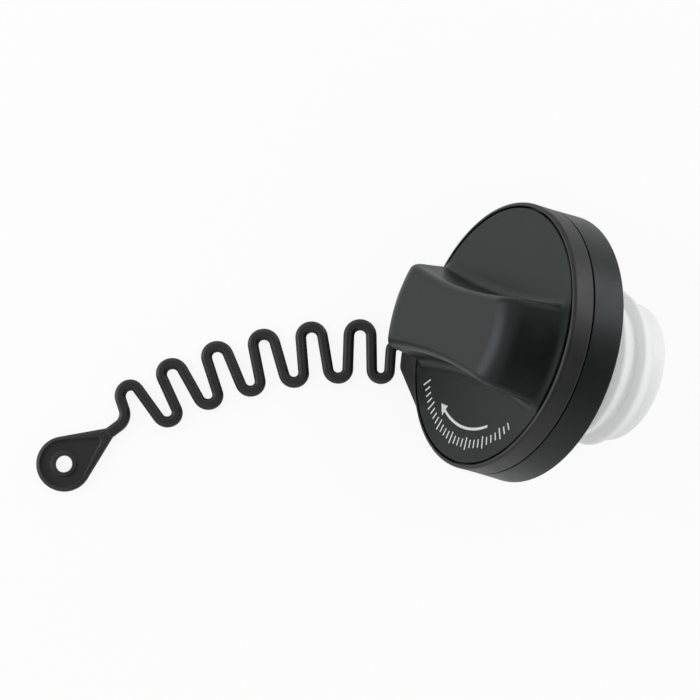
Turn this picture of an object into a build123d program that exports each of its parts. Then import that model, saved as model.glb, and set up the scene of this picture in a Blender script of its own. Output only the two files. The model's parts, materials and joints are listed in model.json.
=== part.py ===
from build123d import *
from math import acos, atan2, cos, degrees, hypot, pi, radians, sin, tan
import os

# Fuel filler cap with a bar handle, an over-run ratchet, a two-way vent valve and a moulded tether.
#
# Every piece is built in the cap's own upright frame: +Z runs along the cap's axis towards the handle,
# z = 0 is the sealing plane under the gasket and +X is the side on which the cap lies. The last step lays
# all the pieces down together, as the tethered cap comes to rest: on the skirt's edge, the neck's end and
# the flat strap.

os.makedirs("parts", exist_ok=True)

# ------------------------------------------------ driving dimensions, millimetres and degrees

# Fits and clearances
same_place = 0.01  # two heights closer than this are one
snap_gap = 0.15  # between mouldings that snap or weld together
turn_gap = 0.35  # between mouldings that turn on each other
axial_gap = 0.3  # end play of the turning pieces
lug_gap = 0.1  # between the spring retainer and the lugs over it
stem_gap = 0.08  # valve stem in its sleeve, radial

# Head: the outline that shows
rim_radius = 38.0  # collar and front of the skirt
rim_flare = 0.3  # the skirt's draft, added to the radius at its rear edge
face_height = 12.6  # face above the sealing plane
face_groove = 0.6  # shadow groove between the face and the collar
face_round = 0.3
collar_height = 6.3
collar_lip = 1.1  # thickness of the collar's thin front lip
collar_round = 0.9
parting_gap = 0.55  # dark line between the collar and the skirt
skirt_depth = 4.0  # rear edge below the sealing plane
skirt_wall = 2.1
skirt_edge = 0.6  # rounding of the skirt's rear edge
ledge_thickness = 2.0  # ledge that holds the housing's flange
weld_depth = 0.6  # seat of the cover's wall in the skirt

# Cover moulding
cover_wall = 2.4
collar_wall = 4.0  # from the collar's outside to the wall on which it turns
cover_ring_wall = 2.4  # that depending wall
key_count = 6
key_width = 4.0
key_height = 1.3
key_sink = 1.2  # how far a key runs into the wall

# Handle
handle_height = 16.6
handle_waist = 22.4  # width of the foot at the middle
handle_flare_radius = 170.0  # hollow of the long sides in plan
handle_draft = 3.2
handle_end_gap = 0.6  # from the end ramp's foot to the face's edge, which cuts its rounding short
handle_ramp_run = 5.9  # of the end ramps, which are turned about the cap's axis
handle_crest_round = 7.5  # between the top and the end ramps
handle_foot_round = 3.0  # between the bar and the face
handle_edge_round = 2.3
handle_turn = -8.9  # the bar's angle from +X when the cap lies down
handle_rib = 1.8
handle_rib_count = 3
handle_rib_pitch = 14.0

# Tether: collar tab, zigzag strap and eyelet, one moulding
tab_reach = 7.1  # beyond the collar
tab_thickness = 3.2
tab_angle = 6.0
tab_half_angle = 9.0
tab_root_half_angle = 31.0
tab_corner = 3.0
strap_width = 3.1
strap_thickness = 3.0
strap_chamfer = 0.8
strap_side = 4.8  # sideways place of the strap's root
root_bend = 2.5  # bend down from the tab, middle of the strap
root_lap = 0.3  # the bend's run into the flat strap
root_turn = 2.0  # turn on the floor into the first leg
layout_radius = 127.6  # the curved line that the zigzag follows
layout_start = (1.33, 7.4)  # where that line meets the first leg, from the start of the flat strap
leg_pitch = 6.697  # between neighbouring legs, along the layout circle
leg_count = 12
leg_fan = 1.1  # turn of the legs for each degree round the layout circle
radial_angle = -87.6  # where a leg would stand radial
leg_skew = 4.0  # legs close up towards the inner bends
first_leg_angle = -82.15
first_leg_lag = 0.17  # the first leg stands this share of a pitch nearer to the second
swing = 15.4  # middle line of the strap, from its outer to its inner bends
bend_flat = 0.1  # straight left at the middle of each bend
tail_start = (9.31, -1.39)  # corners of the tail's middle line, from the middle of the last leg's end
tail_corner = (4.81, 5.91)
tail_round = 4.2
eye_place = (19.71, 22.51)  # from the middle of the last leg's end
eye_heading = 47.35  # from the tip to the bore
eye_radius = 7.95
eye_bore = 2.45
eye_neck = 15.5  # from the bore to the tip
eye_pocket_neck = 11.6  # the same for the pocket in the plate
eye_plate = 1.8
eye_border = 1.1
eye_boss = 3.7
eye_boss_height = 2.4

# Housing and thread
flange_gap = 0.4  # between the flange's edge and the cover's wall
flange_rim = 2.3  # the flange's bearing on the ledge, outside the gasket
flange_thickness = 2.3
gasket_thickness = 3.0
gasket_stretch = 0.2  # radial, between the gasket and the seat inside it
gasket_round = 0.6
boss_drop = 1.0  # the seat's foot below the gasket
neck_wall = 2.7
neck_length = 33.9  # below the sealing plane
neck_end_round = 2.2
thread_height = 2.6
thread_pitch = 7.0
thread_turns = 2.6
thread_crest = 1.0
thread_bearing = 1.0  # run of the steep flank that draws the cap down
thread_lead = 4.4  # run of the gentle flank towards the neck's end
thread_round = 0.7
thread_start = 5.9  # crest of the first turn above the neck's end
thread_angle = 0.0
thread_sink = 0.3
tooth_count = 24
tooth_height = 1.5
tooth_gap = 2.1  # between the teeth and the pawls' arms
crown_height = 4.2
crown_wall = 2.6
crown_lug = 0.6
web_height = -14.0  # top of the valve web
web_thickness = 2.4
retainer_ledge = 2.2  # seat of the spring retainer round the neck's bore
port_share = 0.5  # of the neck's bore, as are the shares that follow
seat_share = 0.605
seat_lip = 0.8
seat_width = 0.8
rib_count = 6
rib_width = 1.6
rib_depth = 4.0
rib_length = 13.6
rib_sink = 1.3  # how far a rib runs into the neck's wall
lug_count = 4
lug_width = 4.0
lug_height = 0.8

# Torque ring
torque_ring_wall = 3.4
torque_ring_height = 3.8
pawl_count = 4
pawl_arm = 1.5
pawl_length = 62.0  # angle along the arm
pawl_root = 11.0  # angle of the arm's root
pawl_backlash = 0.7  # angle between a nose and its tooth
nose_length = 4.0  # angle
nose_rise = 0.45
arm_clearance = 0.95  # room behind an arm for its spring

# Valves
retainer_thickness = 2.2
retainer_ring_wall = 1.4  # rings that centre the pressure spring
retainer_ring_height = 2.0
retainer_hole = 4.5
retainer_vents = 6
retainer_vent_radius = 2.3
plate_share = 0.78  # also the circle of the retainer's vents
plate_thickness = 1.6
plate_vents = 6
plate_vent_radius = 0.8
plate_ring_height = 1.0
seal_outer_share = 0.73
seal_inner_share = 0.315
seal_thickness = 1.4
sleeve_wall = 1.0
sleeve_height = 4.0
stem_radius = 1.5
poppet_share = 0.43
poppet_thickness = 1.2
poppet_lip_share = 0.372
poppet_lip_height = 0.6
poppet_lip_width = 0.8
stem_stub = 0.4  # stem above the clip
clip_radius = 3.9
clip_thickness = 0.8
vacuum_spring_length = 7.4
vacuum_wire = 0.5
vacuum_coils = 5.0
vacuum_spring_radius = 3.3
pressure_wire = 1.2
pressure_coils = 4.0
pressure_spring_share = 0.57
cage_thickness = 2.0
cage_step = 0.3  # counterbore in the neck that takes the cage
cage_rim = 2.6
cage_hub = 4.5
cage_slots = 8
cage_slot_width = 2.4

# How the cap lies
heading = 164.3  # of the cap's axis on the floor

# ------------------------------------------------ worked out

# radii, from the rim inwards
cover_ring_radius = rim_radius - collar_wall
cover_ring_inner = cover_ring_radius - cover_ring_wall
flange_radius = cover_ring_inner - flange_gap
gasket_outer = flange_radius - flange_rim
ledge_inner = gasket_outer + turn_gap
torque_ring_radius = cover_ring_inner - snap_gap
torque_ring_inner = torque_ring_radius - torque_ring_wall
arm_outer = torque_ring_inner - arm_clearance
arm_inner = arm_outer - pawl_arm
tooth_tip = arm_inner - tooth_gap
tooth_root = tooth_tip - tooth_height
crown_bore = tooth_root - crown_wall
neck_bore = crown_bore - retainer_ledge
neck_radius = neck_bore + neck_wall
thread_radius = neck_radius + thread_height
gasket_boss = thread_radius  # the seat, over which the gasket passes the thread
gasket_inner = gasket_boss + gasket_stretch
port_radius = neck_bore * port_share
seat_radius = neck_bore * seat_share
plate_radius = neck_bore * plate_share
seal_outer = neck_bore * seal_outer_share
seal_inner = neck_bore * seal_inner_share
poppet_radius = neck_bore * poppet_share
poppet_lip = neck_bore * poppet_lip_share
pressure_spring_radius = neck_bore * pressure_spring_share
retainer_ring = pressure_spring_radius - pressure_wire / 2 - axial_gap
sleeve_bore = stem_radius + stem_gap
plate_vent_circle = (sleeve_bore + sleeve_wall + seal_inner) / 2

# heights
skirt_top = face_height - collar_height - parting_gap
collar_bottom = face_height - collar_height
skirt_radius = rim_radius + rim_flare
face_radius = rim_radius - collar_lip - face_groove
cover_under = face_height - cover_wall
shelf_top = cover_under - axial_gap
flange_bottom = gasket_thickness
flange_top = flange_bottom + flange_thickness
ledge_top = flange_bottom - axial_gap
ledge_bottom = ledge_top - ledge_thickness
neck_end = -neck_length
crown_top = flange_top + crown_height
seal_bottom = web_height + seat_lip
seal_top = seal_bottom + seal_thickness
plate_top = seal_top + plate_thickness

# The floor touches the skirt's rounded edge and the neck's rounded end: it is their common tangent.
edge_centre = Vector(skirt_radius - skirt_edge, 0, -skirt_depth + skirt_edge)
end_centre = Vector(neck_radius - neck_end_round, 0, neck_end + neck_end_round)
step = edge_centre - end_centre
tilt = degrees(acos((neck_end_round - skirt_edge) / step.length) - atan2(step.Z, step.X))
floor_down = Vector(cos(radians(tilt)), 0, -sin(radians(tilt)))
contact = edge_centre + floor_down * skirt_edge
floor_plane = Plane(contact, x_dir=(sin(radians(tilt)), 0, cos(radians(tilt))), z_dir=-floor_down)
print("tilt", round(tilt, 3), "floor below the origin", round(contact.dot(floor_down), 3))


def on_circle(radius, angle):
    """A point on a circle about the origin."""
    return (radius * cos(radians(angle)), radius * sin(radians(angle)))


def on_edge(edge):
    """The middle of an edge, seen along the cap's axis."""
    return Vector((edge @ 0.5).X, (edge @ 0.5).Y)


# ------------------------------------------------ cover: face, handle and depending wall

handle_plane = Plane.XY.offset(face_height).rotated((0, 0, handle_turn))
handle_foot = face_radius - handle_end_gap
handle_reach = handle_foot + handle_foot_round  # of the plan, which the end ramps cut off


def half_width(distance):
    """Half the bar's width at a distance from its middle, at the foot."""
    return handle_waist / 2 + distance**2 / (2 * handle_flare_radius)


def bar_block(inset):
    """The bar, or its hollow: the inset is the wall left around it."""
    half_waist = half_width(0) - inset
    half_end = half_width(handle_reach) - inset
    foot = handle_foot - inset
    crest = foot - handle_ramp_run
    top = face_height + handle_height - inset
    with BuildPart() as block:
        with BuildSketch(handle_plane.offset(-cover_wall)):
            with BuildLine():
                ThreePointArc((-handle_reach, -half_end), (0, -half_waist), (handle_reach, -half_end))
                Line((handle_reach, -half_end), (handle_reach, half_end))
                ThreePointArc((handle_reach, half_end), (0, half_waist), (-handle_reach, half_end))
                Line((-handle_reach, half_end), (-handle_reach, -half_end))
            make_face()
        extrude(amount=cover_wall + handle_height, taper=handle_draft)
        with BuildSketch(Plane.XZ) as side:
            with BuildLine():
                Polyline(
                    (0, cover_under),
                    (foot, cover_under),
                    (foot, face_height),
                    (crest, top),
                    (0, top),
                    close=True,
                )
            make_face()
            fillet(side.vertices().group_by(Axis.Y)[-1].sort_by(Axis.X)[-1], handle_crest_round - inset)
        revolve(axis=Axis.Z, mode=Mode.INTERSECT)
    return block


bar = bar_block(0)
bar_hollow = bar_block(cover_wall)

with BuildPart() as cover:
    # the face, made wide enough to take the whole of the foot's rounding
    with BuildSketch(Plane.XY.offset(cover_under)):
        Circle(face_radius + handle_foot_round)
    extrude(amount=cover_wall)
    add(bar.part)
    above = cover.edges().filter_by(lambda e: e.center().Z > face_height + handle_foot_round)
    fillet(above.filter_by(lambda e: e.geom_type not in (GeomType.LINE, GeomType.CIRCLE)), handle_edge_round)
    level = cover.edges().filter_by(lambda e: abs(e.center().Z - face_height) < same_place)
    fillet(level.filter_by(lambda e: e.length < pi * face_radius), handle_foot_round)
    # cut back to the face's edge
    with BuildSketch(Plane.XY.offset(cover_under)):
        Circle(face_radius)
    extrude(amount=cover_wall + handle_height, mode=Mode.INTERSECT)
    outer = cover.edges().filter_by(lambda e: abs(on_edge(e).length - face_radius) < same_place)
    fillet(outer.filter_by(lambda e: e.center().Z > face_height - same_place), face_round)
    add(bar_hollow.part, mode=Mode.SUBTRACT)
    # the wall on which the collar turns
    with BuildSketch(Plane.XY.offset(cover_under)):
        Circle(cover_ring_radius)
        Circle(cover_ring_inner, mode=Mode.SUBTRACT)
    extrude(amount=-(cover_under - ledge_top + weld_depth))
    # cross ribs inside the bar
    with BuildSketch(handle_plane.offset(-cover_wall)):
        with GridLocations(handle_rib_pitch, 0, handle_rib_count, 1):
            Rectangle(handle_rib, handle_waist - 2 * cover_wall)
    extrude(amount=handle_height)
    # keys that drive the torque ring
    with BuildSketch(Plane.XY.offset(cover_under)):
        with PolarLocations(cover_ring_inner + (key_sink - key_height) / 2, key_count):
            Rectangle(key_height + key_sink, key_width)
    extrude(amount=-(cover_under - flange_top - 2 * axial_gap))
cover.part.label = "cover"

# ------------------------------------------------ skirt: rear shell under the collar

with BuildPart() as skirt:
    with BuildSketch(Plane.XZ) as section:
        with BuildLine():
            Polyline(
                (ledge_inner, ledge_bottom),
                (skirt_radius - skirt_wall, ledge_bottom),
                (skirt_radius - skirt_wall, -skirt_depth),
                (skirt_radius, -skirt_depth),
                (rim_radius, skirt_top),
                (cover_ring_radius + snap_gap, skirt_top),
                (cover_ring_radius + snap_gap, ledge_top - weld_depth),
                (cover_ring_inner - snap_gap, ledge_top - weld_depth),
                (cover_ring_inner - snap_gap, ledge_top),
                (ledge_inner, ledge_top),
                close=True,
            )
        make_face()
        fillet(section.vertices().group_by(Axis.Y)[0].sort_by(Axis.X)[-1], skirt_edge)
    revolve(axis=Axis.Z)
skirt.part.label = "skirt"

# ------------------------------------------------ tether: collar, tab, zigzag strap and eyelet

tab_top = face_height - face_round / 2
tab_radius = rim_radius + tab_reach
tab_root_radius = rim_radius - collar_lip / 2
leg_step = degrees(leg_pitch / layout_radius)
layout = Vector(*layout_start) - Vector(*on_circle(layout_radius, first_leg_angle))


def on_leg(side, number):
    """The corner at the end of a leg; side is +1 outside the layout circle, -1 inside it, 0 on it."""
    place = first_leg_angle + leg_step * (number if number else first_leg_lag)
    skew = leg_skew * min(number / 2, 1) * (1 if number % 2 else -1)
    lean = place + (leg_fan - 1) * (place - radial_angle) + skew
    middle = layout + Vector(*on_circle(layout_radius, place))
    return middle + Vector(*on_circle(side * swing / 2, lean))


def bend_rounds(before, first, second, after):
    """The radii that fill a bend between its two corners, with a short straight at its middle."""
    across = second - first
    room = (across.length - bend_flat) / 2
    turns = (across.get_angle(first - before), (after - second).get_angle(across))
    return [room / tan(radians(turn / 2)) for turn in turns]


eye_axis = Vector(cos(radians(eye_heading)), sin(radians(eye_heading)))
last_leg = on_leg(0, leg_count - 1)
eye = last_leg + Vector(*eye_place)
eye_tip = eye - eye_axis * eye_neck
pocket_tip = eye - eye_axis * eye_pocket_neck
tail = last_leg + Vector(*tail_corner)
mid_strap = floor_plane.offset(strap_thickness / 2)
tab_middle = tab_top - tab_thickness / 2
# where the tab's middle plane meets the strap's
root_corner_run = (tab_middle - mid_strap.origin.Z) / mid_strap.x_dir.Z
root_corner = (mid_strap.origin + mid_strap.x_dir * root_corner_run).X
flat_start = root_corner_run + root_bend * tan(radians((90 - tilt) / 2))
root_foot = mid_strap.origin + mid_strap.x_dir * (flat_start + root_lap)
strap_origin = floor_plane.from_local_coords((flat_start, 0, 0))
strap_plane = Plane(strap_origin, x_dir=floor_plane.x_dir, z_dir=floor_plane.z_dir)
first_leg = on_leg(-1, 0) - on_leg(0, 0)
turn_corner = on_leg(0, 0) + first_leg * ((strap_side - on_leg(0, 0).Y) / first_leg.Y)

# the middle line's corners and their radii: in and out along the legs, then the tail to the eyelet
corners = [turn_corner]
rounds = [root_turn]
for leg in range(leg_count):
    side = 1 if leg % 2 else -1  # the side of the bend after this leg
    first = on_leg(side, leg)
    second, after = (on_leg(side, leg + 1), on_leg(-side, leg + 1))
    if leg == leg_count - 1:
        second, after = last_leg + Vector(*tail_start), tail
    rounds += bend_rounds(corners[-1], first, second, after)
    corners += [first, second]
corners += [tail, eye_tip]
rounds += [tail_round]

# the bend from the tab down to the floor
root_plane = Plane((0, strap_side, 0), x_dir=(1, 0, 0), z_dir=(0, -1, 0))
with BuildPart() as root:
    with BuildSketch(root_plane):
        with BuildLine():
            FilletPolyline(
                (rim_radius, tab_middle),
                (root_corner, tab_middle),
                (root_foot.X, root_foot.Z),
                radius=root_bend,
            )
        trace(line_width=strap_thickness)
    extrude(amount=strap_width / 2, both=True)

# the zigzag, its tail and the eyelet's outline, flat on the floor
with BuildPart() as strap:
    with BuildSketch(strap_plane) as outline:
        with BuildLine():
            FilletPolyline(Vector(0, strap_side), *corners, radius=rounds)
        trace(line_width=strap_width)
    extrude(amount=strap_thickness)

    # the eyelet's teardrop, its pocket, its boss and its bore
    with BuildSketch(strap_plane) as drop:
        with Locations(eye):
            Circle(eye_radius)
        with Locations(eye_tip):
            Circle(strap_width / 2)
        make_hull()
    extrude(amount=strap_thickness)
    top = strap.faces().sort_by(Axis(strap_plane.origin, strap_plane.z_dir))[-1]
    start = strap_plane.from_local_coords((0, strap_side, strap_thickness))
    chamfer(top.outer_wire().edges().sort_by_distance(start)[1:], strap_chamfer)
    with BuildSketch(strap_plane.offset(eye_plate)) as pocket:
        with Locations(eye):
            Circle(eye_radius - eye_border)
        with Locations(pocket_tip):
            Circle(eye_border)
        make_hull()
    extrude(amount=strap_thickness - eye_plate, mode=Mode.SUBTRACT)
    with BuildSketch(strap_plane):
        with Locations(eye):
            Circle(eye_boss)
    extrude(amount=eye_boss_height)
    with BuildSketch(strap_plane):
        with Locations(eye):
            Circle(eye_bore)
    extrude(amount=strap_thickness, mode=Mode.SUBTRACT)

# The moulding is kept as three pieces that meet face to face: collar, strap and eyelet.
with BuildPart() as tether_collar:
    with BuildSketch(Plane.XZ) as section:
        with BuildLine():
            Polyline(
                (cover_ring_radius + turn_gap, collar_bottom),
                (rim_radius, collar_bottom),
                (rim_radius, face_height),
                (rim_radius - collar_lip, face_height),
                (rim_radius - collar_lip, shelf_top),
                (cover_ring_radius + turn_gap, shelf_top),
                close=True,
            )
        make_face()
        fillet(section.vertices().group_by(Axis.Y)[-1].sort_by(Axis.X)[-1], collar_round)
    revolve(axis=Axis.Z)
    # the tab, flush with the collar's front
    with BuildSketch(Plane.XY.offset(tab_top - tab_thickness)) as tab:
        with BuildLine():
            root_low = on_circle(tab_root_radius, tab_angle - tab_root_half_angle)
            root_high = on_circle(tab_root_radius, tab_angle + tab_root_half_angle)
            tip_low = on_circle(tab_radius, tab_angle - tab_half_angle)
            tip_high = on_circle(tab_radius, tab_angle + tab_half_angle)
            Line(root_low, tip_low)
            ThreePointArc(tip_low, on_circle(tab_radius, tab_angle), tip_high)
            Line(tip_high, root_high)
            ThreePointArc(root_high, on_circle(tab_root_radius, tab_angle), root_low)
        make_face()
        fillet(tab.vertices().filter_by(lambda v: hypot(v.X, v.Y) > rim_radius + tab_reach / 2), tab_corner)
    extrude(amount=tab_thickness)
tether_collar.part.label = "tether_collar"

eye_run = strap_plane.from_local_coords(eye_axis) - strap_plane.origin
eye_cut = Plane(strap_plane.from_local_coords(eye_tip), z_dir=eye_run)
with BuildPart() as tether_strap:
    add(strap.part)
    split(bisect_by=eye_cut, keep=Keep.BOTTOM)
    add(root.part)
    add(tether_collar.part, mode=Mode.SUBTRACT)
tether_strap.part.label = "tether_strap"

with BuildPart() as tether_eyelet:
    add(strap.part)
    split(bisect_by=eye_cut, keep=Keep.TOP)
tether_eyelet.part.label = "tether_eyelet"

# ------------------------------------------------ housing: flange, toothed crown, neck, thread

lug_bottom = flange_top + retainer_thickness + lug_gap
teeth = [
    on_circle(radius, number * 360 / tooth_count)
    for number in range(tooth_count)
    for radius in (tooth_root, tooth_tip)
]

with BuildPart() as housing:
    with BuildSketch(Plane.XZ) as section:
        with BuildLine():
            Polyline(
                (port_radius, web_height - web_thickness),
                (port_radius, web_height),
                (seat_radius - seat_width / 2, web_height),
                (seat_radius - seat_width / 2, seal_bottom),
                (seat_radius + seat_width / 2, seal_bottom),
                (seat_radius + seat_width / 2, web_height),
                (neck_bore, web_height),
                (neck_bore, flange_top),
                (crown_bore, flange_top),
                (crown_bore, crown_top),
                (tooth_root, crown_top),
                (tooth_root, flange_top),
                (flange_radius, flange_top),
                (flange_radius, flange_bottom),
                (gasket_boss, flange_bottom),
                (gasket_boss, -boss_drop / 2),
                (gasket_boss - boss_drop / 2, -boss_drop),
                (neck_radius, -boss_drop),
                (neck_radius, neck_end),
                (neck_bore + cage_step, neck_end),
                (neck_bore + cage_step, neck_end + cage_thickness),
                (neck_bore, neck_end + cage_thickness),
                (neck_bore, web_height - web_thickness),
                close=True,
            )
        make_face()
        fillet(section.vertices().group_by(Axis.Y)[0].sort_by(Axis.X)[-1], neck_end_round)
    revolve(axis=Axis.Z)
    # saw teeth round the crown
    with BuildSketch(Plane.XY.offset(flange_top)):
        with BuildLine():
            Polyline(*teeth, close=True)
        make_face()
        Circle(tooth_root - crown_wall / 2, mode=Mode.SUBTRACT)
    extrude(amount=crown_height)
    # lugs over the spring retainer
    with BuildSketch(Plane.XY.offset(lug_bottom)):
        with PolarLocations(crown_bore, lug_count, 180 / lug_count):
            Rectangle(2 * crown_lug, lug_width)
    extrude(amount=lug_height)
    # ribs inside the neck, under the valve web
    with BuildSketch(Plane.XY.offset(web_height - web_thickness)):
        with PolarLocations(neck_bore + (rib_sink - rib_depth) / 2, rib_count):
            Rectangle(rib_depth + rib_sink, rib_width)
    extrude(amount=-rib_length)
    # coarse thread
    thread_out = (*on_circle(1, thread_angle), 0)  # outwards, at the thread's start
    with BuildLine(Plane((0, 0, neck_end + thread_start), x_dir=thread_out)) as thread_line:
        Helix(pitch=thread_pitch, height=thread_pitch * thread_turns, radius=neck_radius)
    helix = thread_line.wire()
    with BuildSketch(Plane(helix @ 0, x_dir=thread_out, z_dir=helix % 0)) as ridge:
        with BuildLine():
            Polyline(
                (-thread_sink, -thread_crest / 2 - thread_bearing),
                (thread_height, -thread_crest / 2),
                (thread_height, thread_crest / 2),
                (-thread_sink, thread_crest / 2 + thread_lead),
                close=True,
            )
        make_face()
        fillet(ridge.vertices().group_by(Axis.X)[-1], thread_round)
    sweep(path=helix, is_frenet=True)
housing.part.label = "housing"

# ------------------------------------------------ gasket

with BuildPart() as gasket:
    with BuildSketch():
        Circle(gasket_outer)
        Circle(gasket_inner, mode=Mode.SUBTRACT)
    extrude(amount=gasket_thickness)
    fillet(gasket.edges().group_by(Axis.Z)[0].sort_by(SortBy.LENGTH)[-1], gasket_round)
gasket.part.label = "gasket"

# ------------------------------------------------ torque ring: driven by the cover's keys

torque_ring_bottom = flange_top + axial_gap
nose_radius = tooth_root + axial_gap

with BuildPart() as torque_ring:
    with BuildSketch(Plane.XY.offset(torque_ring_bottom)):
        Circle(torque_ring_radius)
        Circle(torque_ring_inner, mode=Mode.SUBTRACT)
        with PolarLocations(torque_ring_radius, key_count):
            Rectangle(2 * (key_height + snap_gap), key_width + 2 * snap_gap, mode=Mode.SUBTRACT)
        for number in range(pawl_count):
            tip_angle = number * 360 / pawl_count - pawl_backlash
            root_angle = tip_angle - pawl_length
            nose_angle = tip_angle - nose_length
            # the arm
            with BuildLine():
                middle = (tip_angle + root_angle) / 2
                Line(on_circle(arm_inner, root_angle), on_circle(arm_outer, root_angle))
                ThreePointArc(
                    on_circle(arm_outer, root_angle),
                    on_circle(arm_outer, middle),
                    on_circle(arm_outer, tip_angle),
                )
                Line(on_circle(arm_outer, tip_angle), on_circle(arm_inner, tip_angle))
                ThreePointArc(
                    on_circle(arm_inner, tip_angle),
                    on_circle(arm_inner, middle),
                    on_circle(arm_inner, root_angle),
                )
            make_face()
            # its root on the ring
            with BuildLine():
                Polyline(
                    on_circle(arm_inner, root_angle),
                    on_circle(torque_ring_inner + snap_gap, root_angle),
                    on_circle(torque_ring_inner + snap_gap, root_angle + pawl_root),
                    on_circle(arm_inner, root_angle + pawl_root),
                    close=True,
                )
            make_face()
            # its nose against a tooth
            with BuildLine():
                Polyline(
                    on_circle(arm_inner + snap_gap, tip_angle),
                    on_circle(nose_radius, tip_angle),
                    on_circle(nose_radius + nose_rise, nose_angle),
                    on_circle(arm_inner + snap_gap, tip_angle - 2 * nose_length),
                    close=True,
                )
            make_face()
    extrude(amount=torque_ring_height)
torque_ring.part.label = "torque_ring"

# ------------------------------------------------ spring retainer

with BuildPart() as spring_retainer:
    with BuildSketch(Plane.XY.offset(flange_top)):
        Circle(crown_bore - snap_gap)
        with PolarLocations(plate_radius, retainer_vents):
            Circle(retainer_vent_radius, mode=Mode.SUBTRACT)
    extrude(amount=retainer_thickness)
    with BuildSketch(Plane.XY.offset(flange_top)):
        Circle(retainer_ring)
        Circle(retainer_ring - retainer_ring_wall, mode=Mode.SUBTRACT)
    extrude(amount=-retainer_ring_height)
    with BuildSketch(Plane.XY.offset(flange_top)):
        Circle(retainer_hole)
    extrude(amount=retainer_thickness, mode=Mode.SUBTRACT)
spring_retainer.part.label = "spring_retainer"

# ------------------------------------------------ pressure valve

with BuildPart() as pressure_plate:
    with BuildSketch(Plane.XY.offset(seal_top)):
        Circle(plate_radius)
        with PolarLocations(plate_vent_circle, plate_vents):
            Circle(plate_vent_radius, mode=Mode.SUBTRACT)
    extrude(amount=plate_thickness)
    with BuildSketch(Plane.XY.offset(plate_top)):
        Circle(retainer_ring)
        Circle(retainer_ring - retainer_ring_wall, mode=Mode.SUBTRACT)
    extrude(amount=plate_ring_height)
    with BuildSketch(Plane.XY.offset(plate_top)):
        Circle(sleeve_bore + sleeve_wall)
    extrude(amount=sleeve_height)
    with BuildSketch(Plane.XY.offset(seal_top)):
        Circle(sleeve_bore)
    extrude(amount=plate_thickness + sleeve_height, mode=Mode.SUBTRACT)
pressure_plate.part.label = "pressure_plate"

with BuildPart() as valve_seal:
    with BuildSketch(Plane.XY.offset(seal_bottom)):
        Circle(seal_outer)
        Circle(seal_inner, mode=Mode.SUBTRACT)
    extrude(amount=seal_thickness)
valve_seal.part.label = "valve_seal"

# ------------------------------------------------ vacuum valve

clip_bottom = plate_top + vacuum_spring_length
clip_top = clip_bottom + clip_thickness
poppet_top = seal_bottom - poppet_lip_height
with BuildPart() as vacuum_poppet:
    with BuildSketch(Plane.XZ):
        with BuildLine():
            Polyline(
                (0, poppet_top - poppet_thickness),
                (poppet_radius, poppet_top - poppet_thickness),
                (poppet_radius, poppet_top),
                (poppet_lip + poppet_lip_width / 2, poppet_top),
                (poppet_lip + poppet_lip_width / 2, seal_bottom),
                (poppet_lip - poppet_lip_width / 2, seal_bottom),
                (poppet_lip - poppet_lip_width / 2, poppet_top),
                (stem_radius, poppet_top),
                (stem_radius, clip_top + stem_stub),
                (0, clip_top + stem_stub),
                close=True,
            )
        make_face()
    revolve(axis=Axis.Z)
vacuum_poppet.part.label = "vacuum_poppet"

with BuildPart() as vacuum_clip:
    with BuildSketch(Plane.XY.offset(clip_bottom)):
        Circle(clip_radius)
        Circle(stem_radius, mode=Mode.SUBTRACT)
        with Locations((clip_radius / 2, 0)):
            Rectangle(clip_radius, stem_radius, mode=Mode.SUBTRACT)
    extrude(amount=clip_thickness)
vacuum_clip.part.label = "vacuum_clip"

# ------------------------------------------------ springs


def coil_spring(radius, wire, bottom, top, coils):
    """A compression spring between two heights, with its end coils ground to stay between them."""
    height = top - bottom
    rise = height - wire
    path = Helix(pitch=rise / coils, height=rise, radius=radius, center=(0, 0, bottom + wire / 2))
    with BuildPart() as spring:
        with BuildSketch(Plane(path @ 0, z_dir=path % 0)):
            Circle(wire / 2)
        sweep(path=path, is_frenet=True)
    return spring


pressure_spring = coil_spring(pressure_spring_radius, pressure_wire, plate_top, flange_top, pressure_coils)
pressure_spring.part.label = "pressure_spring"
vacuum_spring = coil_spring(vacuum_spring_radius, vacuum_wire, plate_top, clip_bottom, vacuum_coils)
vacuum_spring.part.label = "vacuum_spring"

# ------------------------------------------------ vent cage in the neck's end

cage_radius = neck_bore + cage_step - snap_gap
with BuildPart() as vent_cage:
    with BuildSketch(Plane.XY.offset(neck_end)):
        Circle(cage_radius)
        with PolarLocations((cage_hub + cage_radius - cage_rim) / 2, cage_slots):
            SlotOverall(cage_radius - cage_rim - cage_hub, cage_slot_width, mode=Mode.SUBTRACT)
    extrude(amount=cage_thickness)
vent_cage.part.label = "vent_cage"

# ------------------------------------------------ laid down, and written out

lying = Plane(
    origin=(0, 0, 0),
    x_dir=(
        sin(radians(tilt)) * cos(radians(heading)),
        sin(radians(tilt)) * sin(radians(heading)),
        -cos(radians(tilt)),
    ),
    z_dir=(
        cos(radians(tilt)) * cos(radians(heading)),
        cos(radians(tilt)) * sin(radians(heading)),
        sin(radians(tilt)),
    ),
).location

pieces = (
    cover,
    skirt,
    tether_collar,
    tether_strap,
    tether_eyelet,
    housing,
    gasket,
    torque_ring,
    spring_retainer,
    pressure_spring,
    pressure_plate,
    valve_seal,
    vacuum_poppet,
    vacuum_clip,
    vacuum_spring,
    vent_cage,
)
for piece in pieces:
    piece.part.move(lying)
    print(piece.part.label, round(piece.part.volume, 1), piece.part.is_valid, len(piece.part.solids()))

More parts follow.
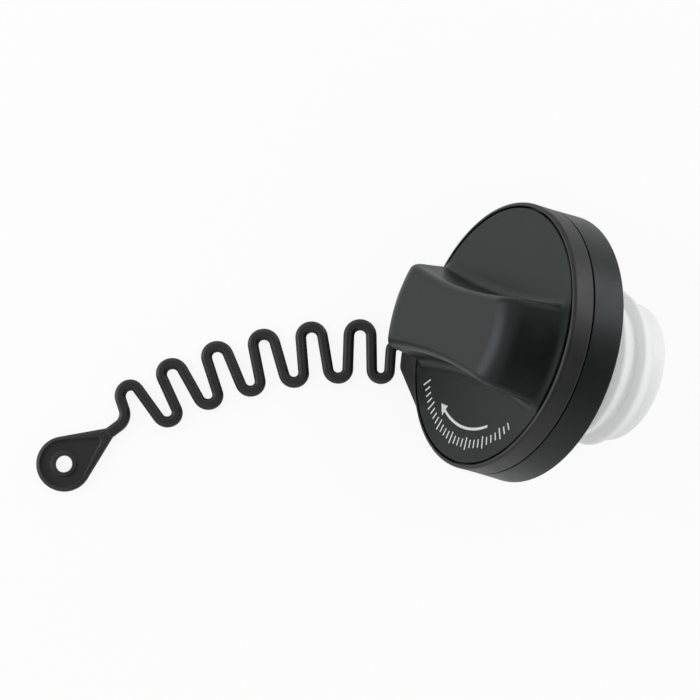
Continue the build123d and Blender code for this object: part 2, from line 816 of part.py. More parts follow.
export_step(cover.part, "parts/cover.step")
export_step(skirt.part, "parts/skirt.step")
export_step(tether_collar.part, "parts/tether_collar.step")
export_step(tether_strap.part, "parts/tether_strap.step")
export_step(tether_eyelet.part, "parts/tether_eyelet.step")
export_step(housing.part, "parts/housing.step")
export_step(gasket.part, "parts/gasket.step")
export_step(torque_ring.part, "parts/torque_ring.step")
export_step(spring_retainer.part, "parts/spring_retainer.step")
export_step(pressure_spring.part, "parts/pressure_spring.step")
export_step(pressure_plate.part, "parts/pressure_plate.step")
export_step(valve_seal.part, "parts/valve_seal.step")
export_step(vacuum_poppet.part, "parts/vacuum_poppet.step")
export_step(vacuum_clip.part, "parts/vacuum_clip.step")
export_step(vacuum_spring.part, "parts/vacuum_spring.step")
export_step(vent_cage.part, "parts/vent_cage.step")
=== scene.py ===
"""Screw-in filler cap on a zigzag tether: finishes, springs, marks, light and camera around the solids.

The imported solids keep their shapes. This script gives each of them its moulded, rubber or steel finish,
winds the two valve springs, prints the turn marks on the face, and sets a pale floor, soft light and the
camera.
"""

import json
import logging
import math
from dataclasses import dataclass, field
from enum import Enum
from typing import Any, Iterable, Optional, Sequence

import bmesh
import bpy
from mathutils import Matrix, Vector


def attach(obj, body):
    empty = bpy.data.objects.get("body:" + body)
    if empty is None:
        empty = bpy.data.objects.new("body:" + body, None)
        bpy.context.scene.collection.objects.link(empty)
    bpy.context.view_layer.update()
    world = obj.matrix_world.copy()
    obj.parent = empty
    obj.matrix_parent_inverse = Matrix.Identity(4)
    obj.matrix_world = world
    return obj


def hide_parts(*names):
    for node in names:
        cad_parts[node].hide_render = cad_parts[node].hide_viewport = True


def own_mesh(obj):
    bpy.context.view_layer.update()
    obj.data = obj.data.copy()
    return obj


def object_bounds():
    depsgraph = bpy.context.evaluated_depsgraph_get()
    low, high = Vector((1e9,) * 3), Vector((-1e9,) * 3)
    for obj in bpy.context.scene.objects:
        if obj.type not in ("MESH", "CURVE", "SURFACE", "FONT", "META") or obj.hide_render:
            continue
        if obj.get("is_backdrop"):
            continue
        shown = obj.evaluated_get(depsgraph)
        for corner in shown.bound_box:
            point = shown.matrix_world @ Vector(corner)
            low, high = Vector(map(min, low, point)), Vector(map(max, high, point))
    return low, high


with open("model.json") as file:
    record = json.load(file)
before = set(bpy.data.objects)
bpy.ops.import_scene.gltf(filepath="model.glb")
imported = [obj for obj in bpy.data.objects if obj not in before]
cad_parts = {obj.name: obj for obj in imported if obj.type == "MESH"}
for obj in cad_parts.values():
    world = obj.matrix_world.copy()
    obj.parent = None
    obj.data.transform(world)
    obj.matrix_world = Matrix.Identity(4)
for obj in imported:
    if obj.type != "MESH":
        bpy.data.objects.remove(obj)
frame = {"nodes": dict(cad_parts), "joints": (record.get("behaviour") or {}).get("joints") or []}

MM = 0.001
LOG = logging.getLogger("filler_cap")

BEVEL_SAMPLES = 6
NOISE_MIDDLE = (0.35, 0.65)  # the band of a noise field that most of it lies in
NOISE_WIDE = (0.3, 0.7)

Band = tuple[float, float]
Colour = tuple[float, float, float]
Joints = Sequence[dict[str, Any]]


class Body(str, Enum):
    """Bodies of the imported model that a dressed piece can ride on."""

    COVER = "cover"
    HOUSING = "housing"
    PRESSURE_VALVE = "pressure_valve"


class Joint(str, Enum):
    """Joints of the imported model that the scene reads."""

    COVER_TURN = "cover_turn"
    PRESSURE_VALVE_LIFT = "pressure_valve_lift"
    VACUUM_VALVE_DROP = "vacuum_valve_drop"


class End(Enum):
    """The ends of a spring along the cap's axis."""

    LOWER = "lower"
    UPPER = "upper"


# ---------------------------------------------------------------------- where the cap lies


def joint_entry(joints: Joints, name: Joint) -> dict[str, Any]:
    """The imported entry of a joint."""
    return next(entry for entry in joints if entry["name"] == name.value)


@dataclass(frozen=True)
class CapFrame:
    """The cap's own upright frame inside the row frame.

    The cap's +Z runs along its axis towards the handle, and its +X points to the side it lies on.
    """

    axis: Vector

    @classmethod
    def from_joints(cls, joints: Joints) -> "CapFrame":
        """Reads the cap's axis from the joint that turns the cover.

        Args:
            joints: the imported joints.

        Returns:
            The frame of the cap as it lies.
        """
        return cls(Vector(joint_entry(joints, Joint.COVER_TURN)["axis"]).normalized())

    def matrix(self) -> Matrix:
        """Places the cap's frame in the row frame.

        Returns:
            The matrix from the cap's frame to the row frame, both in metres.
        """
        tilt = math.asin(self.axis.z)
        heading = math.atan2(self.axis.y, self.axis.x)
        across = Vector(
            (math.sin(tilt) * math.cos(heading), math.sin(tilt) * math.sin(heading), -math.cos(tilt))
        )
        side = self.axis.cross(across)
        return Matrix((across, side, self.axis)).transposed().to_4x4()


# ---------------------------------------------------------------------- node boards


class NodeBoard:
    """A node tree that is filled by short calls."""

    def __init__(self, tree: bpy.types.NodeTree) -> None:
        """Keeps the tree and empties it."""
        self.tree = tree
        self.tree.nodes.clear()

    def add(self, kind: str, inputs: Optional[dict[Any, Any]] = None, **settings: Any) -> bpy.types.Node:
        """Adds a node, sets its properties, and sets or links its inputs.

        Args:
            kind: Blender's name for the node type.
            inputs: values or output sockets by input name or number.
            **settings: properties of the node itself.

        Returns:
            The new node.
        """
        node = self.tree.nodes.new(kind)
        for name, value in settings.items():
            setattr(node, name, value)
        for key, value in (inputs or {}).items():
            if isinstance(value, bpy.types.NodeSocket):
                self.tree.links.new(value, node.inputs[key])
            else:
                node.inputs[key].default_value = value
        return node

    def math(self, operation: str, *values: Any, clamp: bool = False) -> bpy.types.NodeSocket:
        """One step of arithmetic on numbers or sockets."""
        node = self.add("ShaderNodeMath", dict(enumerate(values)), operation=operation, use_clamp=clamp)
        return node.outputs[0]

    def ramp(
        self, value: Any, low: float, high: float, start: float = 0.0, end: float = 1.0
    ) -> bpy.types.NodeSocket:
        """Maps a value from one range to another, held at both ends.

        Args:
            value: a number or socket.
            low: the value that gives start.
            high: the value that gives end.
            start: the result at low.
            end: the result at high.

        Returns:
            The result's socket.
        """
        node = self.add("ShaderNodeMapRange", {0: value, 1: low, 2: high, 3: start, 4: end})
        node.clamp = True
        return node.outputs[0]

    def mix(self, share: Any, first: Any, second: Any) -> bpy.types.NodeSocket:
        """Mixes two colours.

        Args:
            share: the second colour's share, a number or socket.
            first: a colour or socket.
            second: a colour or socket.

        Returns:
            The mixed colour's socket.
        """
        node = self.add("ShaderNodeMix", data_type="RGBA", clamp_factor=True)
        for key, value in ((0, share), (6, first), (7, second)):
            if isinstance(value, bpy.types.NodeSocket):
                self.tree.links.new(value, node.inputs[key])
            else:
                node.inputs[key].default_value = value if key == 0 else (*value, 1.0)
        return node.outputs[2]

    def noise(
        self, place: Any, scale: float, detail: float = 2.0, rough: float = 0.5
    ) -> bpy.types.NodeSocket:
        """A noise field, from 0 to 1 about 0.5."""
        inputs = {"Vector": place, "Scale": scale, "Detail": detail, "Roughness": rough}
        return self.add("ShaderNodeTexNoise", inputs).outputs[0]


# ---------------------------------------------------------------------- finishes


@dataclass(frozen=True)
class Moulded:
    """A moulded plastic or rubber surface: fine grain, faint flow marks, softened and slightly paler edges.

    Lengths are in metres. The grain is what a spark-eroded or blasted mould leaves; the flow is the broad
    unevenness that a moulding shows in a reflection.
    """

    name: str
    colour: Colour
    pale: Colour
    roughness: float
    roughness_spread: float = 0.06
    grain_size: float = 0.00035
    grain_depth: float = 0.000006
    flow_size: float = 0.009
    flow_depth: float = 0.00002
    edge_radius: float = 0.00035
    edge_share: float = 0.35
    fleck_share: float = 0.0
    ior: float = 1.4
    gloss_tint: Colour = (1.0, 1.0, 1.0)
    subsurface: float = 0.0
    seep: float = 0.002
    flow_weight: float = 0.6  # of the flow in the roughness, the rest is the grain
    wear_least: float = 0.5  # the least wear of an edge
    drift_share: float = 0.22  # how far the flow shifts the colour towards the pale one
    fleck_density: float = 900.0  # per metre
    fleck_band: Band = (0.71, 0.76)
    edge_band: Band = (0.995, 0.9)  # cosine of the turn at which an edge begins and is full

    def build(self) -> bpy.types.Material:
        """Builds the material.

        Returns:
            A material whose patterns follow Object coordinates.
        """
        material = bpy.data.materials.new(self.name)
        material.use_nodes = True
        board = NodeBoard(material.node_tree)
        place = board.add("ShaderNodeTexCoord").outputs["Object"]
        flow = board.noise(place, 1.0 / self.flow_size, detail=3.0)
        grain = board.noise(place, 1.0 / self.grain_size, detail=2.0, rough=0.6)
        edges = self._edges(board)
        worn = board.math("MULTIPLY", edges, board.ramp(flow, *NOISE_MIDDLE, self.wear_least, 1.0))
        share = board.math("MULTIPLY", worn, self.edge_share)
        drift = board.ramp(flow, *NOISE_WIDE, 0.0, self.drift_share)
        colour = board.mix(board.math("ADD", share, drift, clamp=True), self.colour, self.pale)
        if self.fleck_share:
            dust = board.noise(place, self.fleck_density, detail=1.0)
            flecks = board.ramp(dust, *self.fleck_band, 0.0, self.fleck_share)
            colour = board.mix(flecks, colour, self.pale)
        half = self.roughness_spread
        rough = board.ramp(
            board.math(
                "ADD",
                board.math("MULTIPLY", flow, self.flow_weight),
                board.math("MULTIPLY", grain, 1.0 - self.flow_weight),
            ),
            *NOISE_MIDDLE,
            self.roughness - half,
            self.roughness + half,
        )
        relief = board.math(
            "ADD",
            board.math("MULTIPLY", grain, self.grain_depth),
            board.math("MULTIPLY", flow, self.flow_depth),
        )
        soft = board.add("ShaderNodeBevel", {"Radius": self.edge_radius}, samples=BEVEL_SAMPLES)
        bump = board.add(
            "ShaderNodeBump", {"Strength": 1.0, "Distance": 1.0, "Height": relief, "Normal": soft.outputs[0]}
        )
        shader = board.add(
            "ShaderNodeBsdfPrincipled",
            {"Base Color": colour, "Roughness": rough, "Normal": bump.outputs[0], "IOR": self.ior},
        )
        shader.inputs["Specular Tint"].default_value = (*self.gloss_tint, 1.0)
        if self.subsurface:
            shader.inputs["Subsurface Weight"].default_value = self.subsurface
            shader.inputs["Subsurface Scale"].default_value = self.seep
            shader.inputs["Subsurface Radius"].default_value = (1.0, 1.0, 1.0)
        board.add("ShaderNodeOutputMaterial", {"Surface": shader.outputs[0]})
        return material

    def _edges(self, board: NodeBoard) -> bpy.types.NodeSocket:
        """Finds where the surface turns sharply.

        Args:
            board: the material's nodes.

        Returns:
            A socket from 0 on a flat to 1 on an edge.
        """
        reach = {"Radius": self.edge_radius * 2.0}
        wide = board.add("ShaderNodeBevel", reach, samples=BEVEL_SAMPLES).outputs[0]
        true = board.add("ShaderNodeNewGeometry").outputs["Normal"]
        dot = board.add("ShaderNodeVectorMath", {0: wide, 1: true}, operation="DOT_PRODUCT").outputs["Value"]
        return board.ramp(dot, *self.edge_band)


@dataclass(frozen=True)
class DrawnWire:
    """Bright drawn spring wire with fine die lines and a slightly uneven polish."""

    name: str
    colour: Colour = (0.56, 0.56, 0.57)
    roughness: float = 0.26
    line_size: float = 0.00012
    line_depth: float = 0.000002
    patch_density: float = 700.0  # per metre
    patch_band: Band = (0.4, 0.7)
    smoother: float = 0.06
    rougher: float = 0.08
    dark_share: float = 0.82

    def build(self) -> bpy.types.Material:
        """Builds the material.

        Returns:
            A metal whose lines follow Object coordinates.
        """
        material = bpy.data.materials.new(self.name)
        material.use_nodes = True
        board = NodeBoard(material.node_tree)
        place = board.add("ShaderNodeTexCoord").outputs["Object"]
        lines = board.noise(place, 1.0 / self.line_size, detail=2.0)
        patches = board.noise(place, self.patch_density, detail=2.0)
        smooth, dull = self.roughness - self.smoother, self.roughness + self.rougher
        rough = board.ramp(patches, *NOISE_WIDE, smooth, dull)
        height = board.math("MULTIPLY", lines, self.line_depth)
        bump = board.add("ShaderNodeBump", {"Strength": 1.0, "Distance": 1.0, "Height": height})
        dark = tuple(self.dark_share * part for part in self.colour)
        tint = board.mix(board.ramp(patches, *self.patch_band), self.colour, dark)
        shader = board.add(
            "ShaderNodeBsdfPrincipled",
            {"Base Color": tint, "Metallic": 1.0, "Roughness": rough, "Normal": bump.outputs[0]},
        )
        board.add("ShaderNodeOutputMaterial", {"Surface": shader.outputs[0]})
        return material


@dataclass(frozen=True)
class PrintedInk:
    """Pad-printed ink: flat, faintly mottled, with the moulding's grain showing through."""

    name: str
    colour: Colour = (0.64, 0.65, 0.65)
    thin: Colour = (0.42, 0.43, 0.44)
    roughness: float = 0.5
    roughness_spread: float = 0.08
    mottle_size: float = 0.0005
    thin_band: Band = (0.5, 0.72)
    grain_depth: float = 0.000005

    def build(self) -> bpy.types.Material:
        """Builds the material.

        Returns:
            An ink whose mottle follows Object coordinates.
        """
        material = bpy.data.materials.new(self.name)
        material.use_nodes = True
        board = NodeBoard(material.node_tree)
        place = board.add("ShaderNodeTexCoord").outputs["Object"]
        mottle = board.noise(place, 1.0 / self.mottle_size, detail=3.0, rough=0.65)
        colour = board.mix(board.ramp(mottle, *self.thin_band), self.colour, self.thin)
        height = board.math("MULTIPLY", mottle, self.grain_depth)
        bump = board.add("ShaderNodeBump", {"Strength": 1.0, "Distance": 1.0, "Height": height})
        half = self.roughness_spread
        rough = board.ramp(mottle, *NOISE_WIDE, self.roughness - half, self.roughness + half)
        shader = board.add(
            "ShaderNodeBsdfPrincipled",
            {"Base Color": colour, "Roughness": rough, "Normal": bump.outputs[0]},
        )
        board.add("ShaderNodeOutputMaterial", {"Surface": shader.outputs[0]})
        return material


BLACK_SATIN = Moulded(
    "black_satin",
    (0.0048, 0.0053, 0.0055),
    (0.018, 0.019, 0.0195),
    0.38,
    grain_size=0.0004,
    grain_depth=0.00001,
    fleck_share=0.1,
    gloss_tint=(0.9, 0.98, 0.985),
)
TETHER_SATIN = Moulded(
    "tether_satin",
    (0.0055, 0.0058, 0.006),
    (0.034, 0.034, 0.033),
    0.44,
    edge_radius=0.0005,
    edge_share=0.7,
    ior=1.47,
)
WHITE_MOULDED = Moulded(
    "white_moulded",
    (0.91, 0.918, 0.92),
    (0.93, 0.935, 0.935),
    0.36,
    grain_size=0.0005,
    grain_depth=0.000003,
    flow_size=0.014,
    flow_depth=0.00004,
    subsurface=0.9,
    seep=0.003,
)
SEAL_RUBBER = Moulded(
    "seal_rubber", (0.016, 0.016, 0.016), (0.05, 0.05, 0.049), 0.6, grain_size=0.0002, grain_depth=0.000008
)
RING_PLASTIC = Moulded("ring_plastic", (0.55, 0.56, 0.55), (0.66, 0.66, 0.65), 0.4, subsurface=0.1)
SPRING_WIRE = DrawnWire("spring_wire")
WHITE_INK = PrintedInk("white_ink")


# ---------------------------------------------------------------------- meshes


def plain_mesh(source: bpy.types.Object, name: str) -> bpy.types.Object:
    """Turns an object with live modifiers into a plain mesh object and removes the source.

    Args:
        source: the object to evaluate.
        name: the new object's name.

    Returns:
        A linked object that holds the evaluated mesh.
    """
    graph = bpy.context.evaluated_depsgraph_get()
    mesh = bpy.data.meshes.new_from_object(source.evaluated_get(graph), depsgraph=graph)
    mesh.name = name
    made = bpy.data.objects.new(name, mesh)
    bpy.context.scene.collection.objects.link(made)
    bpy.data.objects.remove(source)
    return made


def grown(name: str, tree: bpy.types.NodeTree, values: dict[str, Any]) -> bpy.types.Object:
    """Grows a plain mesh object from a Geometry Nodes tree.

    Args:
        name: the object's name.
        tree: the tree.
        values: the tree's inputs by name.

    Returns:
        The mesh object, with no modifier left on it.
    """
    carrier = bpy.data.objects.new(f"{name}_carrier", bpy.data.meshes.new(f"{name}_carrier"))
    bpy.context.scene.collection.objects.link(carrier)
    modifier = carrier.modifiers.new(name, "NODES")
    modifier.node_group = tree
    for socket in tree.interface.items_tree:
        if socket.in_out == "INPUT":
            modifier[socket.identifier] = values[socket.name]
    return plain_mesh(carrier, name)


def mesh_object(name: str, form: bmesh.types.BMesh, material: bpy.types.Material) -> bpy.types.Object:
    """Links a mesh object made from a bmesh, which is freed.

    Args:
        name: the object's name.
        form: the shape, in metres.
        material: its only material.

    Returns:
        The linked object.
    """
    mesh = bpy.data.meshes.new(name)
    bmesh.ops.recalc_face_normals(form, faces=form.faces[:])
    form.to_mesh(mesh)
    form.free()
    mesh.materials.append(material)
    made = bpy.data.objects.new(name, mesh)
    bpy.context.scene.collection.objects.link(made)
    return made


# ---------------------------------------------------------------------- sub-assemblies


@dataclass
class TurnMarks:
    """The printed marks on the face: a scale of ratchet steps and a curved arrow that shows how to close it.

    Angles are about the cap's axis from its +X; lengths are in millimetres.
    """

    cap: CapFrame
    face_height: float = 12.6
    ink: float = 0.03
    scale_radius: float = 31.0
    scale_start: float = 29.0
    scale_step: float = 3.75
    scale_count: int = 27
    tick_length: float = 2.3
    tick_width: float = 0.5
    long_tick: float = 1.5
    long_every: int = 4
    arrow_radius: float = 26.8
    arrow_from: float = 108.0
    arrow_to: float = 50.0
    arrow_width: float = 0.75
    head_width: float = 3.4
    head_angle: float = 7.0
    arc_steps: int = 48
    head_steps: int = 7

    def _scale_tree(self, material: bpy.types.Material) -> bpy.types.NodeTree:
        """Geometry Nodes tree that sets ticks along an arc.

        Args:
            material: the ink.

        Returns:
            The tree, with named inputs for its sizes.
        """
        tree = bpy.data.node_groups.new("scale_of_ticks", "GeometryNodeTree")
        board = NodeBoard(tree)
        tree.interface.new_socket("Geometry", in_out="OUTPUT", socket_type="NodeSocketGeometry")
        for name in ("Count", "Long every"):
            tree.interface.new_socket(name, in_out="INPUT", socket_type="NodeSocketInt")
        for name in ("Radius", "Start", "Step", "Length", "Width", "Long", "Ink", "Height"):
            tree.interface.new_socket(name, in_out="INPUT", socket_type="NodeSocketFloat")
        given = board.add("NodeGroupInput").outputs
        index = board.add("GeometryNodeInputIndex").outputs[0]
        angle = board.math("ADD", board.math("MULTIPLY", index, given["Step"]), given["Start"])
        along = board.math("MULTIPLY", board.math("COSINE", angle), given["Radius"])
        across = board.math("MULTIPLY", board.math("SINE", angle), given["Radius"])
        level = board.math("ADD", given["Height"], board.math("MULTIPLY", given["Ink"], 0.5))
        place = board.add("ShaderNodeCombineXYZ", {0: along, 1: across, 2: level}).outputs[0]
        points = board.add("GeometryNodePoints", {"Count": given["Count"], "Position": place}).outputs[0]
        tick = board.add("GeometryNodeMeshCube").outputs["Mesh"]
        turn = board.add("ShaderNodeCombineXYZ", {2: angle}).outputs[0]
        rest = board.math("MODULO", index, given["Long every"])
        short = board.math("GREATER_THAN", rest, 0.5)
        more = board.math("SUBTRACT", given["Long"], 1.0)
        extra = board.math("MULTIPLY", more, board.math("SUBTRACT", 1.0, short))
        length = board.math("MULTIPLY", given["Length"], board.math("ADD", 1.0, extra))
        size = board.add("ShaderNodeCombineXYZ", {0: length, 1: given["Width"], 2: given["Ink"]}).outputs[0]
        layout = {"Points": points, "Instance": tick, "Rotation": turn, "Scale": size}
        placed = board.add("GeometryNodeInstanceOnPoints", layout).outputs[0]
        real = board.add("GeometryNodeRealizeInstances", {0: placed}).outputs[0]
        done = board.add("GeometryNodeSetMaterial", {"Geometry": real, "Material": material}).outputs[0]
        board.add("NodeGroupOutput", {0: done})
        return tree

    def _scale(self, material: bpy.types.Material) -> bpy.types.Object:
        """Prints the ticks.

        Args:
            material: the ink.

        Returns:
            The ticks, as a plain mesh in the row frame.
        """
        values = {
            "Count": self.scale_count,
            "Long every": self.long_every,
            "Radius": self.scale_radius * MM,
            "Start": math.radians(self.scale_start),
            "Step": math.radians(self.scale_step),
            "Length": self.tick_length * MM,
            "Width": self.tick_width * MM,
            "Long": self.long_tick,
            "Ink": self.ink * MM,
            "Height": self.face_height * MM,
        }
        made = grown("face_scale_marks", self._scale_tree(material), values)
        made.data.transform(self.cap.matrix())
        return made

    def _point(self, radius: float, angle: float, level: float) -> Vector:
        """A point on the face by radius, angle and height, in metres."""
        turned = Vector((math.cos(math.radians(angle)), math.sin(math.radians(angle)), 0.0))
        return (turned * radius + Vector((0, 0, level))) * MM

    def _ring(self, form: bmesh.types.BMesh, half: float, angle: float) -> list[bmesh.types.BMVert]:
        """Adds the four corners of the arrow's section at an angle.

        Args:
            form: the arrow's shape.
            half: half of the arrow's width there.
            angle: the angle, in degrees.

        Returns:
            The corners, round the section.
        """
        low = self.face_height
        high = self.face_height + self.ink
        inner = self.arrow_radius - half
        outer = self.arrow_radius + half
        places = ((inner, low), (outer, low), (outer, high), (inner, high))
        return [form.verts.new(self._point(radius, angle, level)) for radius, level in places]

    def _arrow(self, material: bpy.types.Material) -> bpy.types.Object:
        """Prints the curved arrow, a thin closed band with a pointed head.

        Args:
            material: the ink.

        Returns:
            The arrow, as a plain mesh in the row frame.
        """
        form = bmesh.new()
        turn = 1.0 if self.arrow_to > self.arrow_from else -1.0
        neck = self.arrow_to - turn * self.head_angle
        half = self.head_width / 2
        rings = []
        for step in range(self.arc_steps + 1):
            angle = self.arrow_from + (neck - self.arrow_from) * step / self.arc_steps
            rings.append(self._ring(form, self.arrow_width / 2, angle))
        for step in range(self.head_steps):
            share = step / self.head_steps
            rings.append(self._ring(form, half * (1 - share), neck + (self.arrow_to - neck) * share))
        tip_low = form.verts.new(self._point(self.arrow_radius, self.arrow_to, self.face_height))
        tip_high = form.verts.new(self._point(self.arrow_radius, self.arrow_to, self.face_height + self.ink))
        for before, after in zip(rings, rings[1:]):
            for corner in range(4):
                other = (corner + 1) % 4
                form.faces.new((before[corner], before[other], after[other], after[corner]))
        form.faces.new(rings[0])
        last = rings[-1]
        form.faces.new((last[0], last[1], tip_low))
        form.faces.new((last[2], last[3], tip_high))
        form.faces.new((last[1], last[2], tip_high, tip_low))
        form.faces.new((last[3], last[0], tip_low, tip_high))
        made = mesh_object("face_turn_arrow", form, material)
        made.data.transform(self.cap.matrix())
        return made

    def build(self) -> list[bpy.types.Object]:
        """Builds both marks and lets them turn with the cover.

        Returns:
            The marks.
        """
        material = WHITE_INK.build()
        made = [self._scale(material), self._arrow(material)]
        for piece in made:
            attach(piece, Body.COVER.value)
        return made


@dataclass
class SolidFinishes:
    """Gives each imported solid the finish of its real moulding, rubber or steel."""

    nodes: dict[str, bpy.types.Object]
    finishes: dict[str, Any] = field(
        default_factory=lambda: {
            "cover": BLACK_SATIN,
            "skirt": BLACK_SATIN,
            "tether_collar": TETHER_SATIN,
            "tether_strap": TETHER_SATIN,
            "tether_eyelet": TETHER_SATIN,
            "housing": WHITE_MOULDED,
            "spring_retainer": WHITE_MOULDED,
            "vent_cage": WHITE_MOULDED,
            "gasket": SEAL_RUBBER,
            "valve_seal": SEAL_RUBBER,
            "torque_ring": RING_PLASTIC,
            "pressure_plate": RING_PLASTIC,
            "vacuum_poppet": RING_PLASTIC,
            "vacuum_clip": RING_PLASTIC,
            "pressure_spring": SPRING_WIRE,
            "vacuum_spring": SPRING_WIRE,
        }
    )

    def build(self) -> list[bpy.types.Object]:
        """Puts the finishes on the solids.

        Returns:
            The dressed solids.
        """
        made: dict[str, bpy.types.Material] = {}
        dressed = []
        for name, finish in self.finishes.items():
            solid = self.nodes[name]
            if finish.name not in made:
                made[finish.name] = finish.build()
            for slot in solid.material_slots:
                slot.material = made[finish.name]
            dressed.append(solid)
        return dressed


@dataclass(frozen=True)
class Spring:
    """A coil spring wound in the place of a valve spring's solid, riding on the body it is attached to."""

    node: str
    joint: Joint
    body: Body
    fixed: End
    turns: float
    steps_per_turn: int = 64
    wire_sides: int = 20

    def _tree(self, material: bpy.types.Material) -> bpy.types.NodeTree:
        """Geometry Nodes tree that winds a wire about the cap's axis.

        Args:
            material: the wire's finish.

        Returns:
            The tree, with named inputs for its sizes.
        """
        tree = bpy.data.node_groups.new("wound_wire", "GeometryNodeTree")
        board = NodeBoard(tree)
        tree.interface.new_socket("Geometry", in_out="OUTPUT", socket_type="NodeSocketGeometry")
        for name in ("Steps", "Sides"):
            tree.interface.new_socket(name, in_out="INPUT", socket_type="NodeSocketInt")
        for name in ("Turns", "Radius", "Wire", "Low", "High"):
            tree.interface.new_socket(name, in_out="INPUT", socket_type="NodeSocketFloat")
        given = board.add("NodeGroupInput").outputs
        line = board.add("GeometryNodeCurvePrimitiveLine").outputs[0]
        path = board.add("GeometryNodeResampleCurve", {"Curve": line, "Count": given["Steps"]}).outputs[0]
        share = board.add("GeometryNodeSplineParameter").outputs["Factor"]
        angle = board.math("MULTIPLY", board.math("MULTIPLY", share, given["Turns"]), math.tau)
        along = board.math("MULTIPLY", board.math("COSINE", angle), given["Radius"])
        across = board.math("MULTIPLY", board.math("SINE", angle), given["Radius"])
        foot = board.math("MULTIPLY_ADD", given["Wire"], 0.5, given["Low"])
        rise = board.math("SUBTRACT", board.math("SUBTRACT", given["High"], given["Low"]), given["Wire"])
        level = board.math("MULTIPLY_ADD", share, rise, foot)
        place = board.add("ShaderNodeCombineXYZ", {0: along, 1: across, 2: level}).outputs[0]
        wound = board.add("GeometryNodeSetPosition", {"Geometry": path, "Position": place}).outputs[0]
        half = board.math("MULTIPLY", given["Wire"], 0.5)
        round_wire = {"Resolution": given["Sides"], "Radius": half}
        section = board.add("GeometryNodeCurvePrimitiveCircle", round_wire).outputs[0]
        sweep = {"Curve": wound, "Profile Curve": section, "Fill Caps": True}
        swept = board.add("GeometryNodeCurveToMesh", sweep).outputs[0]
        real = board.add("GeometryNodeRealizeInstances", {0: swept}).outputs[0]
        done = board.add("GeometryNodeSetMaterial", {"Geometry": real, "Material": material}).outputs[0]
        board.add("NodeGroupOutput", {0: done})
        return tree

    def build(self, cap: CapFrame, solids: dict[str, bpy.types.Object], joints: Joints) -> bpy.types.Object:
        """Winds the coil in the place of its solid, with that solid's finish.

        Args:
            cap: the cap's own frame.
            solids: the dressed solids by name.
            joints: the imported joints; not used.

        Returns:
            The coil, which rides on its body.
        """
        upright = cap.matrix().inverted()
        places = [upright @ vertex.co for vertex in solids[self.node].data.vertices]
        radii = [math.hypot(place.x, place.y) for place in places]
        low, high = min(place.z for place in places), max(place.z for place in places)
        values = {
            "Steps": round(self.turns * self.steps_per_turn) + 1,
            "Sides": self.wire_sides,
            "Turns": self.turns,
            "Radius": (max(radii) + min(radii)) / 2,
            "Wire": max(radii) - min(radii),
            "Low": low,
            "High": high,
        }
        material = solids[self.node].material_slots[0].material
        coil = grown(f"{self.node}_coil", self._tree(material), values)
        coil.data.transform(cap.matrix())
        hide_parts(self.node)
        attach(coil, self.body.value)
        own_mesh(coil)
        return coil


SPRINGS = (
    Spring("pressure_spring", Joint.PRESSURE_VALVE_LIFT, Body.HOUSING, End.UPPER, turns=4.0),
    Spring("vacuum_spring", Joint.VACUUM_VALVE_DROP, Body.PRESSURE_VALVE, End.LOWER, turns=5.0),
)


# ---------------------------------------------------------------------- studio


@dataclass(frozen=True)
class SoftLamp:
    """A soft rectangular lamp that faces the object: its place and size in metres, its power in watts."""

    name: str
    place: tuple[float, float, float]
    size: tuple[float, float]
    power: float

    def build(self, aim: Vector) -> None:
        """Sets up the lamp.

        Args:
            aim: the point it faces.
        """
        data = bpy.data.lights.new(self.name, "AREA")
        data.shape = "RECTANGLE"
        data.size, data.size_y = self.size
        data.energy = self.power
        lamp = bpy.data.objects.new(self.name, data)
        lamp.location = self.place
        lamp.rotation_mode = "QUATERNION"
        lamp.rotation_quaternion = (Vector(self.place) - aim).to_track_quat("Z", "Y")
        bpy.context.scene.collection.objects.link(lamp)


LAMPS = (
    SoftLamp("lamp_left", (-1.05, 0.2, 0.42), (0.6, 0.9), 5.5),
    SoftLamp("lamp_right", (1.06, 0.5, 0.25), (0.8, 0.5), 3.2),
)


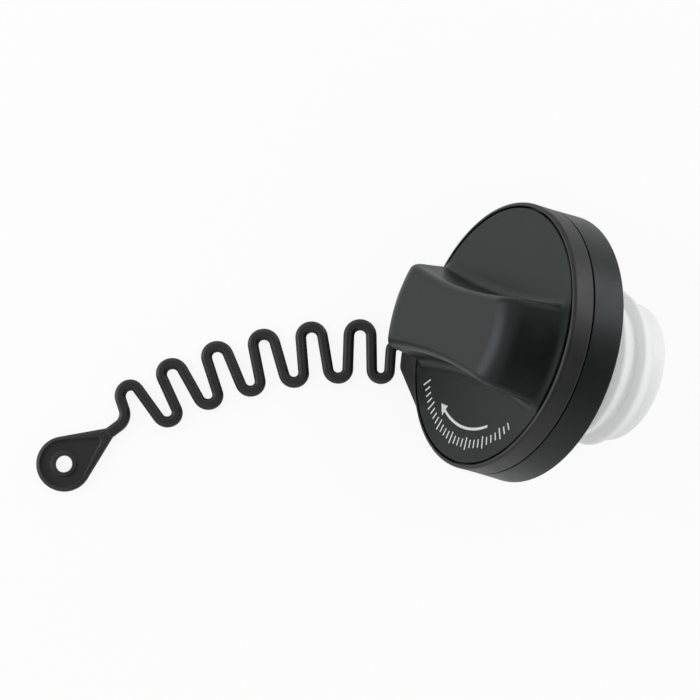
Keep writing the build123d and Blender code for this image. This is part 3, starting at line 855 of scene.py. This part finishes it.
@dataclass
class Studio:
    """A pale floor, a soft sky with a dark flag for reflections, two soft lamps and the camera.

    Lengths are in metres and angles in degrees. The flag darkens only what glossy surfaces mirror.
    """

    floor_size: float = 8.0
    floor_gap: float = 0.00002
    floor_white: float = 0.9
    backdrop_share: float = 0.88
    sky_strength: float = 0.74
    flag_side: Vector = field(default_factory=lambda: Vector((0.5, -0.38, 0.78)))
    flag_spread: Band = (44.0, 20.0)  # from the flag's middle to its edge, and to where it is full
    camera_place: Vector = field(default_factory=lambda: Vector((-0.037265, -0.080498, 0.896987)))
    camera_turn: tuple[float, float, float] = (5.15876, 1.0402, -2.8327)
    lens: float = 166.2246  # millimetres
    sensor: float = 36.0  # millimetres
    clip: Band = (0.05, 20.0)

    def _floor(self, level: float) -> None:
        """A wide pale floor that stays white to the camera and keeps the object's shadow.

        Args:
            level: the height of the object's lowest point.
        """
        form = bmesh.new()
        bmesh.ops.create_grid(form, x_segments=1, y_segments=1, size=self.floor_size / 2)
        material = bpy.data.materials.new("pale_floor")
        material.use_nodes = True
        board = NodeBoard(material.node_tree)
        lit = board.add("ShaderNodeBsdfDiffuse", {"Color": (self.floor_white,) * 3 + (1.0,)}).outputs[0]
        white = board.add("ShaderNodeEmission", {"Color": (1.0, 1.0, 1.0, 1.0), "Strength": 1.0}).outputs[0]
        rays = board.add("ShaderNodeLightPath").outputs
        seen = board.math("MAXIMUM", rays["Is Camera Ray"], rays["Is Transmission Ray"])
        share = board.math("MULTIPLY", seen, self.backdrop_share)
        mixed = board.add("ShaderNodeMixShader", {0: share, 1: lit, 2: white}).outputs[0]
        board.add("ShaderNodeOutputMaterial", {"Surface": mixed})
        floor = mesh_object("floor", form, material)
        floor.location.z = level - self.floor_gap
        floor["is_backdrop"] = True

    def _sky(self) -> None:
        """A soft sky: white to the camera, even for the object, with a dark flag that only gloss mirrors."""
        world = bpy.data.worlds.new("soft_sky")
        bpy.context.scene.world = world
        world.use_nodes = True
        board = NodeBoard(world.node_tree)
        rays = board.add("ShaderNodeLightPath").outputs
        toward = board.add("ShaderNodeTexCoord").outputs["Generated"]
        side = self.flag_side.normalized()
        beside = board.add("ShaderNodeVectorMath", {0: toward, 1: side}, operation="DOT_PRODUCT")
        wide, tight = (math.cos(math.radians(angle)) for angle in self.flag_spread)
        flag = board.ramp(beside.outputs["Value"], wide, tight)
        mirrored = board.math("MULTIPLY", flag, rays["Is Glossy Ray"])
        lit = board.math("MULTIPLY_ADD", mirrored, -self.sky_strength, self.sky_strength)
        strength = board.math("MAXIMUM", lit, rays["Is Camera Ray"])
        back = board.add("ShaderNodeBackground", {"Color": (1.0, 1.0, 1.0, 1.0), "Strength": strength})
        board.add("ShaderNodeOutputWorld", {"Surface": back.outputs[0]})

    def _camera(self) -> None:
        """The camera, almost straight above the floor."""
        data = bpy.data.cameras.new("camera")
        data.sensor_fit = "AUTO"
        data.sensor_width = self.sensor
        data.lens = self.lens
        data.clip_start, data.clip_end = self.clip
        camera = bpy.data.objects.new("camera", data)
        camera.location = self.camera_place
        camera.rotation_euler = tuple(math.radians(angle) for angle in self.camera_turn)
        bpy.context.scene.collection.objects.link(camera)
        bpy.context.scene.camera = camera

    def build(self, low: Vector) -> None:
        """Sets the stage.

        Args:
            low: the object's lowest corner.
        """
        self._floor(low.z)
        self._sky()
        for lamp in LAMPS:
            lamp.build(Vector((0.0, 0.0, 0.0)))
        bpy.context.scene.view_settings.view_transform = "Standard"
        self._camera()


# ---------------------------------------------------------------------- main


def report(title: str, pieces: Iterable[bpy.types.Object]) -> None:
    """Logs the pieces of a sub-assembly with their triangle counts.

    Args:
        title: the sub-assembly.
        pieces: its pieces.
    """
    for piece in pieces:
        piece.data.calc_loop_triangles()
        LOG.info("%s: %s, %d triangles", title, piece.name, len(piece.data.loop_triangles))


def main() -> None:
    """Dresses the cap and sets the stage."""
    logging.basicConfig(level=logging.INFO, format="%(name)s %(message)s")
    solid_low, solid_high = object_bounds()
    cap = CapFrame.from_joints(frame["joints"])
    report("solids", SolidFinishes(frame["nodes"]).build())
    report("springs", [spring.build(cap, frame["nodes"], frame["joints"]) for spring in SPRINGS])
    report("marks", TurnMarks(cap).build())
    Studio().build(solid_low)


if __name__ == "__main__":
    main()
